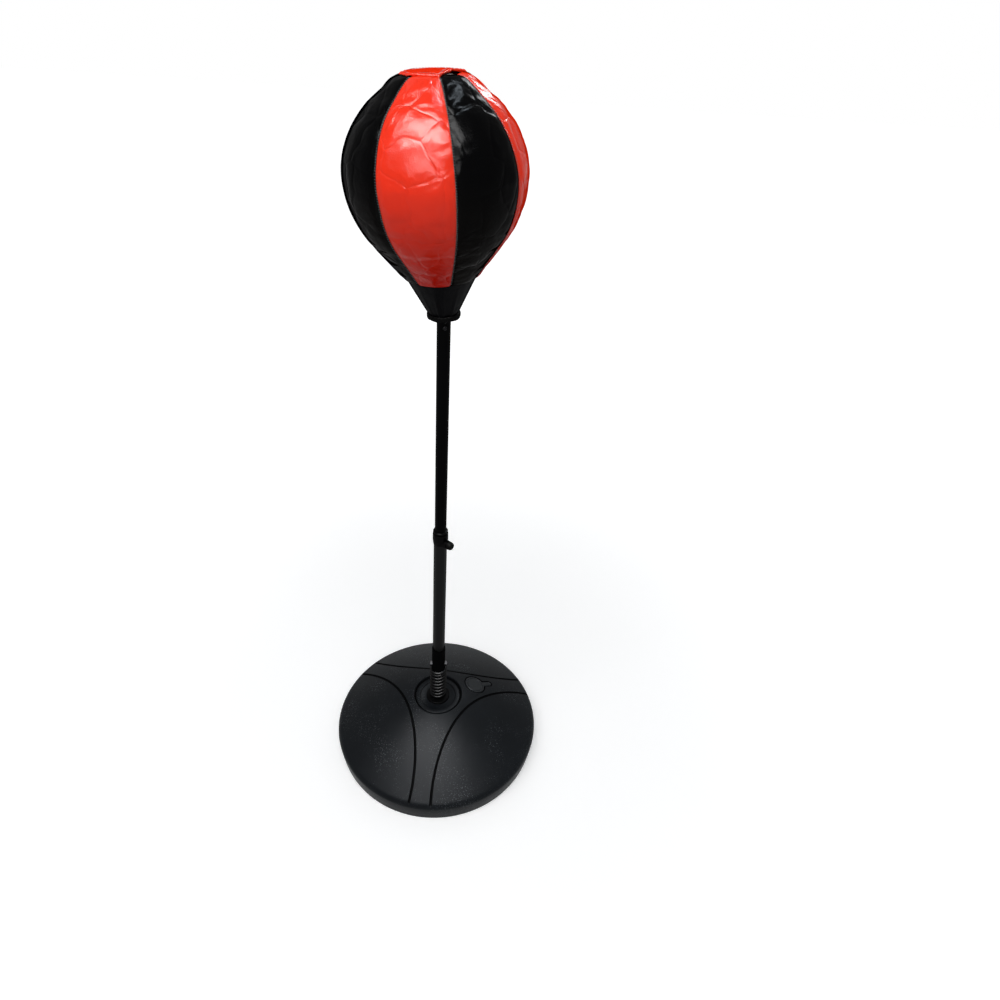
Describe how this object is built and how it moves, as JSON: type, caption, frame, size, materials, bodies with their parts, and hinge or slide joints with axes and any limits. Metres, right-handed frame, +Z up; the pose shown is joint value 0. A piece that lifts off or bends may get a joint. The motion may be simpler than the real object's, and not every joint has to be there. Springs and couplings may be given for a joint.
{
  "type": "freestanding punching ball",
  "caption": "Reflex punching ball on a two-part height-adjustable pole and a coil spring, standing on a round fillable plastic base.",
  "frame": {"origin": "middle of the base on the floor", "axes": "+Z up along the pole, -Y towards the side that faces the viewer in the picture, +X to that viewer's right"},
  "size_m": [0.3799, 0.38, 1.1273],
  "materials": {
    "base_plastic": "finely grained moulded plastic, faint sheen",
    "plug_plastic": "smooth moulded plastic",
    "foot_plastic": "smooth moulded plastic",
    "anchor_steel": "plain zinc-plated steel",
    "spring_paint": "glossy black coating",
    "sleeve_plastic": "soft gloss",
    "bolt_chrome": "bright plated",
    "tube_paint": "glossy black powder coat",
    "collar_plastic": "moulded, soft gloss",
    "knob_plastic": "moulded, soft sheen",
    "shoe_rubber": "hard rubber",
    "skirt_leather": "coated fabric, soft sheen, seamed",
    "rim_rubber": "soft, slightly lumpy roll",
    "bladder_rubber": "matt moulded rubber",
    "valve_rubber": "matt",
    "red_leather": "glossy coated leathercloth",
    "black_leather": "glossy coated leathercloth"
  },
  "bodies": {
    "base": {"base_shell": "base_plastic", "base_floor": "base_plastic", "base_post": "base_plastic", "spring_foot": "foot_plastic", "anchor_bolt": "anchor_steel", "anchor_washer": "anchor_steel", "anchor_nut": "anchor_steel"},
    "plug": {"fill_plug": "plug_plastic"},
    "spring": {"reflex_spring": "spring_paint"},
    "mast": {"spring_plug": "foot_plastic", "pole_sleeve": "sleeve_plastic", "cross_bolt": "bolt_chrome", "cross_nut": "bolt_chrome", "lower_tube": "tube_paint", "clamp_collar": "collar_plastic", "clamp_nut": "anchor_steel"},
    "shoe": {"clamp_shoe": "shoe_rubber"},
    "knob": {"clamp_screw": "anchor_steel", "clamp_knob": "knob_plastic"},
    "guide": {"guide_plug": "shoe_rubber"},
    "ball": {"upper_tube": "tube_paint", "ball_cup": "foot_plastic", "cup_screws": "bolt_chrome", "neck_skirt": "skirt_leather", "neck_rim": "rim_rubber", "bladder": "bladder_rubber", "bladder_valve": "valve_rubber", "top_cap": "red_leather", "red_panel_1": "red_leather", "red_panel_2": "red_leather", "red_panel_3": "red_leather", "red_panel_4": "red_leather", "black_panel_1": "black_leather", "black_panel_2": "black_leather", "black_panel_3": "black_leather", "black_panel_4": "black_leather"}
  },
  "joints": [
    {"name": "plug_pull", "type": "slide", "parent": "base", "child": "plug", "axis": [0.3538, 0.1465, 0.9238], "range_m": [0, 0.035]},
    {"name": "sway_side", "type": "hinge", "parent": "base", "child": "spring", "pos_m": [0, 0, 0.1302], "axis": [0, 1, 0], "range_deg": [-35, 35], "stiffness_Nm_per_rad": 25, "deforming": ["reflex_spring"]},
    {"name": "sway_front", "type": "hinge", "parent": "spring", "child": "mast", "pos_m": [0, 0, 0.1692], "axis": [1, 0, 0], "range_deg": [-35, 35], "stiffness_Nm_per_rad": 25},
    {"name": "height_slide", "type": "slide", "parent": "mast", "child": "guide", "axis": [0, 0, 1], "range_m": [-0.18, 0.055]},
    {"name": "pole_turn", "type": "hinge", "parent": "guide", "child": "ball", "pos_m": [0, 0, 0.4], "axis": [0, 0, 1], "continuous": true},
    {"name": "clamp_feed", "type": "slide", "parent": "mast", "child": "shoe", "axis": [0.766, -0.6428, 0], "range_m": [0, 0.001]},
    {"name": "knob_turn", "type": "hinge", "parent": "shoe", "child": "knob", "pos_m": [0.01532, -0.01286, 0.49003], "axis": [0.766, -0.6428, 0], "range_deg": [0, 450.1]}
  ],
  "couplings": [
    {"joint": "knob_turn", "follows": "clamp_feed", "rad_per_m": 7854}
  ]
}
